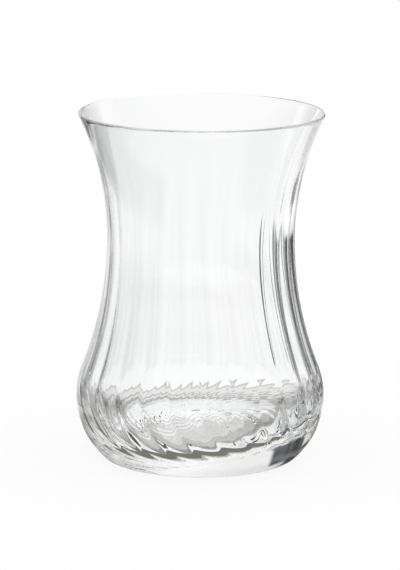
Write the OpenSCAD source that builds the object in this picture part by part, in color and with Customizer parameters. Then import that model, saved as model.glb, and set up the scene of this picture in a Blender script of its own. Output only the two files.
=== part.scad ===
// Waisted tea glass with a thick bottom, smooth outside and fluted inside.
// The flutes swirl over the cavity floor, which isn't quite level.
// One piece of clear glass, with nothing that moves.
// Z is up, and the origin is the middle of the foot, on the table.

/* [Outside] */
// Height from the table to the top of the rim
height = 100; // [94:1:110]
// Diameter over the rim
rim_d = 70.2; // [66:0.2:74]
// Diameter at the waist, the narrowest place
waist_d = 53.7; // [50:0.1:56]
// Height of the waist above the table
waist_z = 63.8; // [58:0.2:68]
// Diameter at the belly, the widest place
belly_d = 71.4; // [69:0.2:74]
// Height of the widest place above the table
belly_z = 17.8; // [16:0.2:20]
// Diameter of the flat that the glass stands on
foot_d = 53.6; // [51:0.2:56]
// Radius of the rounded heel between the foot and the belly
heel_r = 1.5; // [1:0.1:2]

/* [Wall] */
// Wall thickness at the rim
rim_wall = 1.2; // [1:0.05:1.6]
// Wall thickness at the waist
waist_wall = 1.9; // [1.6:0.05:2.2]
// Wall thickness at the belly
belly_wall = 3; // [2.6:0.1:3.4]
// Thickness of the solid bottom in the middle
floor_wall = 7; // [6.5:0.1:8]
// Radius of the gentle round of the cavity floor
floor_round = 120; // [110:5:160]
// Rise of the cavity floor to the right, as a share of the way across
floor_slope_right = 0.08; // [0:0.01:0.1]
// Rise of the cavity floor to the back, as a share of the way across
floor_slope_back = 0.12; // [0:0.01:0.13]
// Height of the cavity's own widest place above the table
bowl_z = 20; // [19:0.2:21]

/* [Flutes] */
// Number of flutes round the cavity
flute_count = 24; // [18:1:30]
// Depth of a flute between its ridges at the belly
belly_flute = 0.4; // [0.3:0.05:0.6]
// Depth of a flute between its ridges at the waist
waist_flute = 0.1; // [0.1:0.05:0.3]
// Angle by which the flutes would swirl on their way to the middle of the floor
floor_swirl = 80; // [60:5:100]
// Height of the smooth band under the rim where no flute shows
smooth_band = 6; // [4:0.5:9]
// Radius of the smooth round in the middle of the floor
smooth_floor_r = 4; // [2:0.5:6]

/* [Foot] */
// Diameter of the shallow hollow under the foot
hollow_d = 42; // [36:0.5:46]
// Depth of the shallow hollow under the foot
hollow_depth = 0.6; // [0.3:0.1:1]

/* [Hidden] */
$fn = 144;

// Columns of facets across one flute, and rings along each stretch of the cavity
flute_columns = 6;
floor_rings = 8;
bowl_rings = 8;
throat_rings = 6;
flare_rings = 5;
// Steps along each arc of the outline
heel_steps = 5;
belly_steps = 14;
waist_steps = 10;
flare_steps = 12;
rim_steps = 12;
mouth_steps = 3;
// How far the flutes' cutting shape runs up into the open mouth
overrun = 2;
// Step from the faceted wall of the flutes out to the round of the mouth
mouth_step = 0.03;

rim_r = rim_d / 2;
waist_r = waist_d / 2;
belly_r = belly_d / 2;
foot_r = foot_d / 2;
hollow_r = hollow_d / 2;
// Radius of the round that the hollow under the foot is part of
hollow_arc = (hollow_r * hollow_r + hollow_depth * hollow_depth) / (2 * hollow_depth);
// Facets of that round, more than elsewhere because so little of it is used
hollow_facets = 5 * $fn;

// Radius of the arc that starts upright at its own middle height and, after going
// across and up, runs along a bead of the given radius. The radius of the bead is
// positive where the arc passes on its outside and negative on its inside.
function arc_to_bead(across, up, bead) =
    (across * across + up * up - bead * bead) / (2 * (across + bead));

// Radius of the waist's lower arc, which starts upright at the waist and runs on
// from a belly arc whose centre lies the given way in from the waist and below it.
function arc_to_belly(inward, drop, belly_arc) =
    (inward * inward + drop * drop - belly_arc * belly_arc) / (2 * (belly_arc - inward));

// Point where two arcs that touch run into each other
function meeting(from, to, from_arc, to_arc) =
    from + (to - from) * from_arc / (from_arc + to_arc);

// Outside: belly arc, lower waist arc and flare
belly_arc = arc_to_bead(belly_r - foot_r, belly_z - heel_r, -heel_r);
belly_c = [belly_r - belly_arc, belly_z];
heel_c = [foot_r, heel_r];
waist_arc = arc_to_belly(waist_r - belly_c[0], waist_z - belly_z, belly_arc);
waist_c = [waist_r + waist_arc, waist_z];
side_p = meeting(belly_c, waist_c, belly_arc, waist_arc);
bead_r = rim_wall / 2;
bead_c = [rim_r - bead_r, height - bead_r];
flare_arc = arc_to_bead(bead_c[0] - waist_r, bead_c[1] - waist_z, bead_r);
flare_c = [waist_r + flare_arc, waist_z];

// Cavity: the same three arcs, set in by the wall, and a gently rounded floor
bowl_r = belly_r - belly_wall;
throat_r = waist_r - waist_wall;
floor_c = [0, floor_wall + floor_round];
bowl_drop = floor_c[1] - bowl_z;
bowl_arc = (floor_round * floor_round - bowl_r * bowl_r - bowl_drop * bowl_drop)
    / (2 * (floor_round - bowl_r));
bowl_c = [bowl_r - bowl_arc, bowl_z];
throat_arc = arc_to_belly(throat_r - bowl_c[0], waist_z - bowl_z, bowl_arc);
throat_c = [throat_r + throat_arc, waist_z];
bowl_p = meeting(bowl_c, throat_c, bowl_arc, throat_arc);
mouth_arc = arc_to_bead(bead_c[0] - throat_r, bead_c[1] - waist_z, -bead_r);
mouth_c = [throat_r + mouth_arc, waist_z];
mouth_z = height - smooth_band;

// Points at even steps along an arc, from past one angle up to another
function arc_points(centre, arc, from, to, steps) =
    [for (i = [1:steps])
        let (turn = from + (to - from) * i / steps)
        centre + arc * [cos(turn), sin(turn)]];

// Angle of a point seen from an arc's centre
function bearing(centre, p) = atan2(p[1] - centre[1], p[0] - centre[0]);

// Angles at which the arcs of the outside run into each other
heel_turn = bearing(belly_c, heel_c);
side_turn = bearing(belly_c, side_p);
rim_turn = bearing(flare_c, bead_c);
// The same for the cavity, and at the height where its flutes end
lip_turn = bearing(mouth_c, bead_c);
mouth_turn = 180 - asin((mouth_z - waist_z) / mouth_arc);
bowl_turn = bearing(bowl_c, bowl_p);
floor_turn = bearing(floor_c, bowl_c);

// Outline of half the glass, solid below the mouth: foot, heel, belly, waist, flare,
// over the rim and down the smooth mouth
glass_outline = concat(
    [[0, 0], [foot_r, 0]],
    arc_points(heel_c, heel_r, -90, heel_turn, heel_steps),
    arc_points(belly_c, belly_arc, heel_turn, side_turn, belly_steps),
    arc_points(waist_c, waist_arc, side_turn + 180, 180, waist_steps),
    arc_points(flare_c, flare_arc, 180, rim_turn, flare_steps),
    arc_points(bead_c, bead_r, rim_turn - 180, lip_turn, rim_steps),
    arc_points(mouth_c, mouth_arc, lip_turn, mouth_turn, mouth_steps),
    [[0, mouth_z]]);

// Middle line of the fluted wall, from the middle of the floor up to the mouth,
// where it stays a step inside the smooth round and runs on past it
flare_line = arc_points(mouth_c, mouth_arc, 180, mouth_turn, flare_rings);
mouth_p = flare_line[flare_rings - 1];
cavity_line = concat(
    arc_points(floor_c, floor_round, -90, floor_turn, floor_rings),
    arc_points(bowl_c, bowl_arc, floor_turn, bowl_turn, bowl_rings),
    arc_points(throat_c, throat_arc, bowl_turn + 180, 180, throat_rings),
    [for (i = [0:flare_rings - 2]) flare_line[i]],
    [mouth_p - [mouth_step, mouth_step], mouth_p + [-mouth_step, overrun]]);

// Direction square to the cavity wall, into the glass, at ring i
function wall_normal(i) =
    let (last = len(cavity_line) - 1)
    let (along = cavity_line[min(i + 1, last)] - cavity_line[max(i - 1, 0)])
    [along[1], -along[0]] / norm(along);

// Half the depth of the flutes at a point of the wall: full at the belly, less at
// the waist, and none in the middle of the floor or under the rim
function flute_swell(p) =
    p[1] > waist_z ? waist_flute / 2 * max(0, 1 - (p[1] - waist_z) / (mouth_z - waist_z)) :
    p[1] > bowl_z ? (belly_flute + (waist_flute - belly_flute) * (p[1] - bowl_z) / (waist_z - bowl_z)) / 2 :
    belly_flute / 2 * min(1, max(0, (p[0] - smooth_floor_r) / (bowl_c[0] - smooth_floor_r)));

// Depth at a bearing round the glass, from 1 in the middle of a flute to -1 on the
// ridge at its side
function flute_wave(turn) =
    let (across = flute_count * turn / 180 - 2 * floor(flute_count * turn / 360) - 1)
    1 - 2 * across * across;

// Angle that the flutes have swirled by, at a point of the cavity line
function swirl(p) = p[1] < bowl_z ? floor_swirl * max(0, 1 - p[0] / bowl_r) : 0;

// Height that a place on the sloping floor gains, fading out up to the widest place
function floor_lift(x, y, z) =
    let (share = min(1, max(0, (bowl_z - z) / (bowl_z - floor_wall))))
    (floor_slope_right * x + floor_slope_back * y) * share * share * (3 - 2 * share);

// One ring of the cavity wall, with its flutes and ridges
function flute_ring(i) =
    let (p = cavity_line[i], out = wall_normal(i), swell = flute_swell(p), lag = swirl(p))
    [for (k = [0:flute_count * flute_columns - 1])
        let (turn = 360 * k / (flute_count * flute_columns))
        let (q = p + out * swell * flute_wave(turn - lag))
        let (x = q[0] * cos(turn), y = q[0] * sin(turn))
        [x, y, q[1] + floor_lift(x, y, p[1])]];

// The cavity up to the mouth: rings of points joined by triangles, closed by a
// fan over the floor and another over the top
module fluted_cavity() {
    columns = flute_count * flute_columns;
    rings = len(cavity_line);
    points = concat(
        [for (i = [0:rings - 1]) each flute_ring(i)],
        [[0, 0, floor_wall], [0, 0, cavity_line[rings - 1][1]]]);
    sides = [for (i = [0:rings - 2], k = [0:columns - 1])
        let (a = i * columns + k, b = i * columns + (k + 1) % columns)
        each [[a, a + columns, b], [b, a + columns, b + columns]]];
    floor_fan = [for (k = [0:columns - 1]) [rings * columns, k, (k + 1) % columns]];
    top = (rings - 1) * columns;
    top_fan = [for (k = [0:columns - 1]) [rings * columns + 1, top + (k + 1) % columns, top + k]];
    polyhedron(points, concat(sides, floor_fan, top_fan));
}

module glass() {
    color("azure", 0.35) difference() {
        rotate_extrude() difference() {
            polygon(glass_outline);
            translate([0, hollow_depth - hollow_arc]) circle(hollow_arc, $fn = hollow_facets);
        }
        fluted_cavity();
    }
}

glass();
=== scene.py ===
"""A waisted tea glass of clear glass, thick at the bottom and fluted inside, on a white table."""
import math

import bmesh
import bpy
from mathutils import Matrix, Vector


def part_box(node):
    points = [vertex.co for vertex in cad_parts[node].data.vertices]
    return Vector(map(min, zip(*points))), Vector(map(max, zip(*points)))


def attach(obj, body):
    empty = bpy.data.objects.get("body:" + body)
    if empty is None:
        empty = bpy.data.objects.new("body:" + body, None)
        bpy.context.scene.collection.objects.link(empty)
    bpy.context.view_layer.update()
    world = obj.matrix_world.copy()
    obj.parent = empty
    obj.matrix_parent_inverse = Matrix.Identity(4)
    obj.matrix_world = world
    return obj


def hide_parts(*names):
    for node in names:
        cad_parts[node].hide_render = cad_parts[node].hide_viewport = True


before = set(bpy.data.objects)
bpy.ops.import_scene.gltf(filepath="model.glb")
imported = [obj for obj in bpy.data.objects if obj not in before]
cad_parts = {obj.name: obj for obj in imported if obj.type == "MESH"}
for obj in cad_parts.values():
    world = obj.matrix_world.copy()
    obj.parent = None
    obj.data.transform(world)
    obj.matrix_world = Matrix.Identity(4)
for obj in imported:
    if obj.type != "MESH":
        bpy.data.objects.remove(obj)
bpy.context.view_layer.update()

# Lengths of the glass are written in millimetres and used in metres.
MM = 0.001

GLASS_LOW, GLASS_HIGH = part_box("glass")
HEIGHT = GLASS_HIGH[2] - GLASS_LOW[2]
BELLY_RADIUS = (GLASS_HIGH[0] - GLASS_LOW[0]) / 2

# Outside of the glass
RIM_RADIUS = 35.1 * MM
WAIST_RADIUS = 26.85 * MM
WAIST_HEIGHT = 63.8 * MM
BELLY_HEIGHT = 17.8 * MM
FOOT_RADIUS = 26.8 * MM
HEEL_ROUND = 1.5 * MM
HOLLOW_RADIUS = 21 * MM
HOLLOW_DEPTH = 0.6 * MM

# Wall of the glass
RIM_WALL = 1.0 * MM
WAIST_WALL = 1.9 * MM
BELLY_WALL = 3.0 * MM
FLOOR_WALL = 7 * MM
BOWL_HEIGHT = 21.5 * MM
FLOOR_ROUND = 120 * MM

# Flutes inside the glass: their depth between the ridges
FLUTES = 24
BELLY_FLUTE = 0.36 * MM
WAIST_FLUTE = 0.15 * MM
SMOOTH_BAND = 6 * MM
SMOOTH_FLOOR = 4 * MM
# Turn that the flutes would make on their way to the middle of the floor
SWIRL = math.radians(80)

# The floor of the cavity isn't level: it rises to the right and to the back
FLOOR_RISE = Vector((0.08, 0.12))
# The cavity lies a little to one side of the outside's axis
CAVITY_SHIFT = -0.9 * MM

# Mesh of the glass
COLUMNS_PER_FLUTE = 12
ARC_STEP = 0.9 * MM
ROUND_STEPS = 8

# Camera, set to the outline of the glass in a frame of 400 by 570
FRAME_WIDTH = 400
FRAME_HEIGHT = 570
CAMERA_DISTANCE = 1000 * MM
CAMERA_TILT = math.radians(11.75)
CAMERA_ROLL = math.radians(0.333)
FOCAL_PIXELS = 3493
CENTRE_PIXEL = (200.73, 284.15)
SENSOR_WIDTH = 36
CLIP_START = 10 * MM

# Clear glass: its colour, how much it bends light, and the faint waves of its surface
GLASS_COLOUR = (0.99, 0.994, 0.993, 1)
GLASS_IOR = 1.52
WAVE_SCALE = 60.0
WAVE_DETAIL = 1.0
WAVE_STRENGTH = 0.01
WAVE_DEPTH = 1 * MM
# Times that light may meet the glass on its way
BOUNCES = 64

# Studio as the camera sees it, and as the glass shows it from behind and from above
PLAIN_LEVEL = 1.0
BACK_LEVEL = 1.05
TOP_LEVEL = 0.93
TOP_START = (10, 30)
# The left half is a little dimmer, and turns to full between these bearings on each side
LEFT_FALL = 0.14
LEFT_START = (-110, -80)
LEFT_END = (-16, 10)
# Dark cards that the glass shows, out of the camera's sight: first and last bearing in
# degrees from straight behind to the right, lowest and highest point in degrees above
# the level, how dark each one is, and how many degrees its edge is soft
CARDS = (
    (-38, -19.5, -19, -12, 0.6, 1.5),
    (-54, -30, -11, 24, 0.97, 1.5),
    (-80, -29, -60, -20, 0.97, 1.5),
    (-26, -8, -40, -29, 0.9, 1.5),
    (13.5, 52, -13, 10, 0.97, 1.5),
    (24, 55, 10, 26, 0.8, 2),
    (-122, -64, -9, 24, 0.93, 4),
    (-136, -64, -40, -21, 0.93, 4),
    (-260, -72, -85, 45, 0.4, 14),
    (72, 260, -85, 45, 0.4, 14),
)
# Green and blue that a full card keeps, so that the dark parts are cold
CARD_TINT = (0.005, 0.012)

# White table, and how white the camera sees it without the glass's shadow
TABLE_RADIUS = 3
TABLE_COLOUR = (0.98, 0.98, 0.98, 1)
TABLE_GLOW = 0.88
TABLE_GAP = 0.05 * MM
DISC_SIDES = 96
WHITE = (1, 1, 1, 1)

# The table near the glass, as the glass shows it, with painted rings of shade like those the glass
# throws on the table round its foot: first and last radius in millimetres, how dark each one is, and
# how many millimetres its edge is soft
NEAR_RADIUS = 75 * MM
SHADE_RINGS = (
    (-5, 14, 0.45, 2.5),
    (14, 30.5, 0.6, 1.2),
    (30.5, 46, 0.2, 1.0),
    (33, 35.5, 0.42, 0.9),
    (43.5, 46.5, 0.28, 0.8),
)
# Waves of the rings, one for each flute, and how far they lean on each millimetre outwards
RING_WAVE = 0.35 * MM
RING_TWIST = 0.25
# Shade under the foot: first and last radius, soft edge, depth, and where it starts
# between the back and the camera's side
FOOT_SHADE = (21 * MM, 30 * MM, 0.7 * MM)
FOOT_SHADE_DEPTH = 0.7
FOOT_SHADE_START = (-8 * MM, 12 * MM)
# Shade on both sides of the glass: first and last bearing and soft edge, first and last
# radius and soft edge, and depth
SIDE_SHADE_TURN = (math.radians(55), math.radians(115), math.radians(12))
SIDE_SHADE_REACH = (30.5 * MM, 66 * MM, 5 * MM)
SIDE_SHADE_DEPTH = 0.85
# Green and blue that the shades lose, so that they are warm
SHADE_TINT = (0.004, 0.035)


class Shade:
    """A socket of a node tree that takes part in sums written as Python expressions."""

    def __init__(self, tree, socket):
        self.tree = tree
        self.socket = socket

    def maths(self, operation, *values):
        return self.tree.add("ShaderNodeMath", {"operation": operation}, dict(enumerate(values)))

    def __add__(self, other):
        return self.maths("ADD", self, other)

    def __mul__(self, other):
        return self.maths("MULTIPLY", self, other)

    def __sub__(self, other):
        return self.maths("SUBTRACT", self, other)

    def __rsub__(self, other):
        return self.maths("SUBTRACT", other, self)

    __radd__ = __add__
    __rmul__ = __mul__

    def step(self, start, end):
        """Rises smoothly from 0 at the start to 1 at the end."""
        return self.tree.add("ShaderNodeMapRange", {"interpolation_type": "SMOOTHSTEP"},
                             {"Value": self, "From Min": start, "From Max": end})

    def band(self, start, end, edge):
        """Is 1 between the start and the end, and falls off softly past them."""
        return self.step(start - edge, start + edge) * (1 - self.step(end - edge, end + edge))

    def axes(self):
        """The three numbers of a place or a direction."""
        parts = self.tree.add("ShaderNodeSeparateXYZ", inputs={"Vector": self}).socket.node
        return [Shade(self.tree, socket) for socket in parts.outputs]


class NodeTree:
    """Adds nodes to the tree of a material or of the world."""

    def __init__(self, owner):
        owner.use_nodes = True
        self.nodes = owner.node_tree.nodes
        self.links = owner.node_tree.links
        self.nodes.clear()

    def add(self, kind, settings=None, inputs=None, output=0):
        node = self.nodes.new(kind)
        for name, value in (settings or {}).items():
            setattr(node, name, value)
        for name, value in (inputs or {}).items():
            if isinstance(value, Shade):
                self.links.new(value.socket, node.inputs[name])
            else:
                node.inputs[name].default_value = value
        return Shade(self, node.outputs[output]) if node.outputs else node


def arc_to_bead(across, up, bead):
    """Radius of an arc that starts upright and, across and up from there, touches a bead."""
    return (across * across + up * up - bead * bead) / (2 * (across + bead))


def arc_to_belly(inward, drop, belly_arc):
    """Radius of the waist's lower arc, which runs on from the belly's arc."""
    return (inward * inward + drop * drop - belly_arc * belly_arc) / (2 * (belly_arc - inward))


def meeting(start, end, start_arc, end_arc):
    """Point where two arcs that touch run into each other."""
    return start + (end - start) * start_arc / (start_arc + end_arc)


def bearing(centre, point):
    return math.atan2(point[1] - centre[1], point[0] - centre[0])


def arc_points(centre, arc, start, end, steps=None):
    """Points at even steps along an arc, from past one angle up to another."""
    steps = steps or max(2, round(abs(end - start) * arc / ARC_STEP))
    turns = [start + (end - start) * i / steps for i in range(1, steps + 1)]
    return [centre + arc * Vector((math.cos(t), math.sin(t))) for t in turns]


def line_points(start, end):
    """Points at even steps along a straight line, past its start."""
    steps = max(2, round((end - start).length / ARC_STEP))
    return [start.lerp(end, i / steps) for i in range(1, steps + 1)]


def outside_line():
    """Half section of the outside: the foot, the heel, the belly, the waist and the flare."""
    heel = Vector((FOOT_RADIUS, HEEL_ROUND))
    belly_arc = arc_to_bead(BELLY_RADIUS - FOOT_RADIUS, BELLY_HEIGHT - HEEL_ROUND, -HEEL_ROUND)
    belly = Vector((BELLY_RADIUS - belly_arc, BELLY_HEIGHT))
    waist_arc = arc_to_belly(WAIST_RADIUS - belly.x, WAIST_HEIGHT - BELLY_HEIGHT, belly_arc)
    waist = Vector((WAIST_RADIUS + waist_arc, WAIST_HEIGHT))
    side = meeting(belly, waist, belly_arc, waist_arc)
    bead = rim_bead()
    flare_arc = arc_to_bead(bead.x - WAIST_RADIUS, bead.y - WAIST_HEIGHT, RIM_WALL / 2)
    flare = Vector((WAIST_RADIUS + flare_arc, WAIST_HEIGHT))
    hollow_arc = (HOLLOW_RADIUS ** 2 + HOLLOW_DEPTH ** 2) / (2 * HOLLOW_DEPTH)
    hollow = Vector((0, HOLLOW_DEPTH - hollow_arc))
    hollow_edge = Vector((HOLLOW_RADIUS, 0))
    heel_turn = bearing(belly, heel)
    rim_turn = bearing(flare, bead)
    return (
        [Vector((0, HOLLOW_DEPTH))]
        + arc_points(hollow, hollow_arc, math.pi / 2, bearing(hollow, hollow_edge))
        + line_points(hollow_edge, Vector((FOOT_RADIUS, 0)))
        + arc_points(heel, HEEL_ROUND, -math.pi / 2, heel_turn, ROUND_STEPS)
        + arc_points(belly, belly_arc, heel_turn, bearing(belly, side))
        + arc_points(waist, waist_arc, bearing(belly, side) + math.pi, math.pi)
        + arc_points(flare, flare_arc, math.pi, rim_turn)
    )


def rim_bead():
    """Centre of the rounded rim in the half section."""
    return Vector((RIM_RADIUS - RIM_WALL / 2, HEIGHT - RIM_WALL / 2))


def rim_line():
    """Half section of the rim, from the outside over the top to the inside."""
    bead = rim_bead()
    flare_arc = arc_to_bead(bead.x - WAIST_RADIUS, bead.y - WAIST_HEIGHT, RIM_WALL / 2)
    flare = Vector((WAIST_RADIUS + flare_arc, WAIST_HEIGHT))
    mouth, _ = mouth_round()
    return arc_points(bead, RIM_WALL / 2, bearing(flare, bead) - math.pi, bearing(mouth, bead),
                      2 * ROUND_STEPS)


def mouth_round():
    """Centre and radius of the arc of the mouth's inside."""
    bead = rim_bead()
    throat = WAIST_RADIUS - WAIST_WALL
    arc = arc_to_bead(bead.x - throat, bead.y - WAIST_HEIGHT, -RIM_WALL / 2)
    return Vector((throat + arc, WAIST_HEIGHT)), arc


def inside_line():
    """Half section of the inside, from under the rim down to the middle of the floor."""
    mouth, mouth_arc = mouth_round()
    throat_radius = WAIST_RADIUS - WAIST_WALL
    bowl, bowl_arc = bowl_round()
    throat_arc = arc_to_belly(throat_radius - bowl.x, WAIST_HEIGHT - BOWL_HEIGHT, bowl_arc)
    throat = Vector((throat_radius + throat_arc, WAIST_HEIGHT))
    side_turn = bearing(bowl, meeting(bowl, throat, bowl_arc, throat_arc))
    floor = Vector((0, FLOOR_WALL + FLOOR_ROUND))
    floor_turn = bearing(floor, bowl)
    return (
        arc_points(mouth, mouth_arc, bearing(mouth, rim_bead()), math.pi)
        + arc_points(throat, throat_arc, math.pi, side_turn + math.pi)
        + arc_points(bowl, bowl_arc, side_turn, floor_turn, 3 * ROUND_STEPS)
        + arc_points(floor, FLOOR_ROUND, floor_turn, -math.pi / 2)
    )


def bowl_round():
    """Centre and radius of the arc that joins the inside wall to the rounded floor."""
    widest = BELLY_RADIUS - BELLY_WALL
    drop = FLOOR_WALL + FLOOR_ROUND - BOWL_HEIGHT
    arc = (FLOOR_ROUND ** 2 - widest ** 2 - drop ** 2) / (2 * (FLOOR_ROUND - widest))
    return Vector((widest - arc, BOWL_HEIGHT)), arc


def flute_swell(radius, height):
    """Half the depth of the flutes at a place on the inside."""
    flutes_end = HEIGHT - SMOOTH_BAND
    if height > WAIST_HEIGHT:
        return WAIST_FLUTE / 2 * max(0, (flutes_end - height) / (flutes_end - WAIST_HEIGHT))
    if height > BOWL_HEIGHT:
        share = (height - BOWL_HEIGHT) / (WAIST_HEIGHT - BOWL_HEIGHT)
        return (BELLY_FLUTE + (WAIST_FLUTE - BELLY_FLUTE) * share) / 2
    bowl_edge = bowl_round()[0].x
    return BELLY_FLUTE / 2 * min(1, max(0, (radius - SMOOTH_FLOOR) / (bowl_edge - SMOOTH_FLOOR)))


def flute_wave(turn):
    """Goes from 1 in the middle of a flute to -1 on the ridge at its side."""
    across = (FLUTES * turn / math.pi) % 2 - 1
    return 1 - 2 * across ** 2


def swirl(radius, height):
    """Turn that the flutes have made at a place on the inside."""
    return SWIRL * max(0, 1 - radius / (BELLY_RADIUS - BELLY_WALL)) if height < BOWL_HEIGHT else 0


def make_glass():
    """Turns the half section round the axis and presses the flutes into the inside."""
    outside = outside_line() + rim_line()
    inside = inside_line()
    section = outside + inside
    bm = bmesh.new()
    ring = bm.verts.layers.int.new("ring")
    points = []
    for number, point in enumerate(section):
        vert = bm.verts.new((point.x, 0, point.y))
        vert[ring] = number
        points.append(vert)
    edges = [bm.edges.new(pair) for pair in zip(points, points[1:])]
    bmesh.ops.spin(bm, geom=points + edges, cent=(0, 0, 0), axis=(0, 0, 1), dvec=(0, 0, 0),
                   angle=2 * math.pi, steps=FLUTES * COLUMNS_PER_FLUTE, use_merge=True)
    bmesh.ops.remove_doubles(bm, verts=bm.verts, dist=MM / 1000)
    press_flutes(bm, ring, section, len(outside))
    bmesh.ops.recalc_face_normals(bm, faces=bm.faces)
    for face in bm.faces:
        face.smooth = True
    mesh = bpy.data.meshes.new("tea_glass")
    bm.to_mesh(mesh)
    bm.free()
    glass = bpy.data.objects.new("tea_glass", mesh)
    bpy.context.scene.collection.objects.link(glass)
    return glass


def press_flutes(bm, ring, section, first_inside):
    """Moves the inside's points square to its wall, in and out round the glass."""
    for vert in bm.verts:
        number = vert[ring]
        if first_inside <= number < len(section) - 1:
            along = section[number + 1] - section[number - 1]
            into_glass = Vector((-along.y, along.x)).normalized()
            turn = math.atan2(vert.co.y, vert.co.x)
            radius = math.hypot(vert.co.x, vert.co.y)
            swell = flute_swell(radius, vert.co.z) * flute_wave(turn - swirl(radius, vert.co.z))
            share = min(1, max(0, (BOWL_HEIGHT - vert.co.z) / (BOWL_HEIGHT - FLOOR_WALL)))
            rise = FLOOR_RISE.dot(vert.co.xy) * share ** 2 * (3 - 2 * share)
            radius += swell * into_glass.x
            end = HEIGHT if vert.co.z > WAIST_HEIGHT else BOWL_HEIGHT
            near_waist = max(0, (end - vert.co.z) / (end - WAIST_HEIGHT))
            aside = CAVITY_SHIFT * near_waist ** 2 * (3 - 2 * near_waist)
            vert.co = (radius * math.cos(turn) + aside, radius * math.sin(turn),
                       vert.co.z + swell * into_glass.y + rise)


def clear_glass():
    """Clear soda-lime glass with the faint waves of a blown wall."""
    material = bpy.data.materials.new("clear_glass")
    tree = NodeTree(material)
    place = tree.add("ShaderNodeTexCoord", output="Object")
    waves = tree.add("ShaderNodeTexNoise", inputs={
        "Vector": place, "Scale": WAVE_SCALE, "Detail": WAVE_DETAIL})
    bump = tree.add("ShaderNodeBump", inputs={
        "Strength": WAVE_STRENGTH, "Distance": WAVE_DEPTH, "Height": waves})
    surface = tree.add("ShaderNodeBsdfPrincipled", inputs={
        "Base Color": GLASS_COLOUR,
        "Roughness": 0.0,
        "IOR": GLASS_IOR,
        "Transmission Weight": 1.0,
        "Normal": bump,
    })
    tree.add("ShaderNodeOutputMaterial", inputs={"Surface": surface})
    return material


def flat_disc(name, radius, height, material):
    """A round sheet that lies flat at the table's level."""
    bm = bmesh.new()
    bmesh.ops.create_circle(bm, cap_ends=True, radius=radius, segments=DISC_SIDES)
    mesh = bpy.data.meshes.new(name)
    bm.to_mesh(mesh)
    bm.free()
    disc = bpy.data.objects.new(name, mesh)
    disc.location = (0, 0, height)
    disc.data.materials.append(material)
    bpy.context.scene.collection.objects.link(disc)
    return disc


def white_top():
    """White for the camera, with a part of the glass's shadow left in."""
    material = bpy.data.materials.new("white_top")
    tree = NodeTree(material)
    matt = tree.add("ShaderNodeBsdfDiffuse", inputs={"Color": TABLE_COLOUR})
    white = tree.add("ShaderNodeEmission", inputs={"Color": WHITE, "Strength": 1.0})
    camera_ray = tree.add("ShaderNodeLightPath", output="Is Camera Ray")
    surface = tree.add("ShaderNodeMixShader", inputs={0: camera_ray * TABLE_GLOW, 1: matt, 2: white})
    tree.add("ShaderNodeOutputMaterial", inputs={"Surface": surface})
    return material


def painted_shade_top():
    """Glowing white with painted shade: the glass's rings round its foot, and shade under and beside
    it.
    """
    material = bpy.data.materials.new("painted_shade_top")
    tree = NodeTree(material)
    place = tree.add("ShaderNodeTexCoord", output="Object")
    across = tree.add("ShaderNodeVectorMath", {"operation": "LENGTH"}, {0: place}, output="Value")
    x, y, _ = place.axes()
    bearing_now = x.maths("ARCTAN2", x, y)
    turn = bearing_now * FLUTES + across * (RING_TWIST / MM)
    across = across + turn.maths("SINE", turn) * RING_WAVE
    tone = 1
    # Painted shade: darker rings like those the glass throws on the table round its foot
    for first, last, depth, edge in SHADE_RINGS:
        tone = tone * (1 - depth * across.band(first * MM, last * MM, edge * MM))
    # Painted shade under the foot on the camera's side and on both sides of the glass, made warm
    towards = y * -1
    foot = across.band(*FOOT_SHADE) * towards.step(*FOOT_SHADE_START)
    aside = bearing_now.maths("ABSOLUTE", bearing_now).band(*SIDE_SHADE_TURN)
    aside = aside * across.band(*SIDE_SHADE_REACH)
    tone = tone * (1 - FOOT_SHADE_DEPTH * foot) * (1 - SIDE_SHADE_DEPTH * aside)
    green, blue = (tone - (1 - tone) * tint for tint in SHADE_TINT)
    colour = tree.add("ShaderNodeCombineColor", inputs={"Red": tone, "Green": green, "Blue": blue})
    white = tree.add("ShaderNodeEmission", inputs={"Color": colour, "Strength": BACK_LEVEL})
    tree.add("ShaderNodeOutputMaterial", inputs={"Surface": white})
    return material


def white_table():
    """A white table top, and the part of it near the glass that shows through the glass, glowing
    with painted shade.
    """
    table = flat_disc("table", TABLE_RADIUS, -2 * TABLE_GAP, white_top())
    table.visible_transmission = False
    table.visible_glossy = False
    near = flat_disc("table_near_glass", NEAR_RADIUS, -TABLE_GAP, painted_shade_top())
    near.visible_camera = False
    near.visible_diffuse = False
    near.visible_shadow = False


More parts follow.
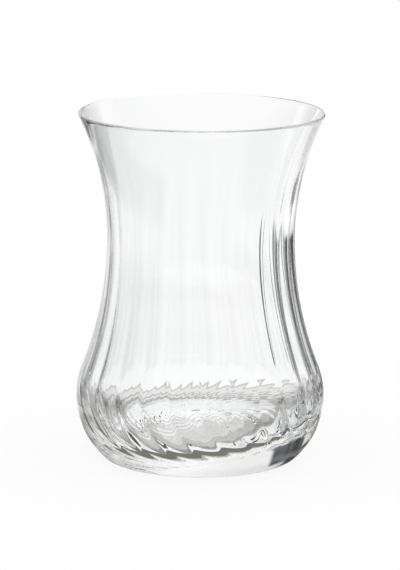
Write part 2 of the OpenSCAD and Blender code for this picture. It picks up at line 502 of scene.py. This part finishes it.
def studio_light():
    """White for the camera, and for the glass a white studio with dark cards between lights."""
    world = bpy.data.worlds.new("studio")
    bpy.context.scene.world = world
    tree = NodeTree(world)
    direction = tree.add("ShaderNodeTexCoord", output="Generated")
    x, y, z = direction.axes()
    bearing_now = x.maths("ARCTAN2", x, y) * (180 / math.pi)
    height_now = z.maths("ARCSINE", z) * (180 / math.pi)
    level = 1 - (1 - TOP_LEVEL) * height_now.step(*TOP_START)
    left = bearing_now.step(*LEFT_START) * (1 - bearing_now.step(*LEFT_END))
    shown = level * BACK_LEVEL * (1 - LEFT_FALL * left)
    for first, last, low, high, depth, edge in CARDS:
        inside = bearing_now.band(first, last, edge) * height_now.band(low, high, edge)
        shown = shown * (1 - depth * inside)
    mirrored = tree.add("ShaderNodeLightPath", output="Is Glossy Ray")
    passed = tree.add("ShaderNodeLightPath", output="Is Transmission Ray")
    in_glass = mirrored.maths("MAXIMUM", mirrored, passed)
    strength = in_glass * shown + (1 - in_glass) * PLAIN_LEVEL
    green, blue = (strength + (1 - strength) * tint for tint in CARD_TINT)
    colour = tree.add("ShaderNodeCombineColor", inputs={
        "Red": strength, "Green": green, "Blue": blue})
    light = tree.add("ShaderNodeBackground", inputs={"Color": colour, "Strength": 1.0})
    tree.add("ShaderNodeOutputWorld", inputs={"Surface": light})


def place_camera():
    """A camera in front of the glass that looks a little down at its middle."""
    camera = bpy.data.cameras.new("camera")
    camera.sensor_fit = "AUTO"
    camera.sensor_width = SENSOR_WIDTH
    camera.lens = FOCAL_PIXELS * SENSOR_WIDTH / FRAME_HEIGHT
    camera.shift_x = (FRAME_WIDTH / 2 - CENTRE_PIXEL[0]) / FRAME_HEIGHT
    camera.shift_y = (CENTRE_PIXEL[1] - FRAME_HEIGHT / 2) / FRAME_HEIGHT
    camera.clip_start = CLIP_START
    holder = bpy.data.objects.new("camera", camera)
    back = Vector((0, -math.cos(CAMERA_TILT), math.sin(CAMERA_TILT)))
    right = Vector((1, 0, 0))
    up = back.cross(right)
    turned_right = right * math.cos(CAMERA_ROLL) + up * math.sin(CAMERA_ROLL)
    turned_up = up * math.cos(CAMERA_ROLL) - right * math.sin(CAMERA_ROLL)
    turn = Matrix((turned_right, turned_up, back)).transposed()
    aim = Vector((0, 0, HEIGHT / 2))
    holder.matrix_world = Matrix.Translation(aim + back * CAMERA_DISTANCE) @ turn.to_4x4()
    bpy.context.scene.collection.objects.link(holder)
    bpy.context.scene.camera = holder


def main():
    scene = bpy.context.scene
    scene.view_settings.view_transform = "Standard"
    scene.cycles.max_bounces = BOUNCES
    scene.cycles.transmission_bounces = BOUNCES
    scene.cycles.glossy_bounces = BOUNCES
    place_camera()
    glass = make_glass()
    glass.data.materials.append(clear_glass())
    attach(glass, "root")
    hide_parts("glass")
    white_table()
    studio_light()


main()
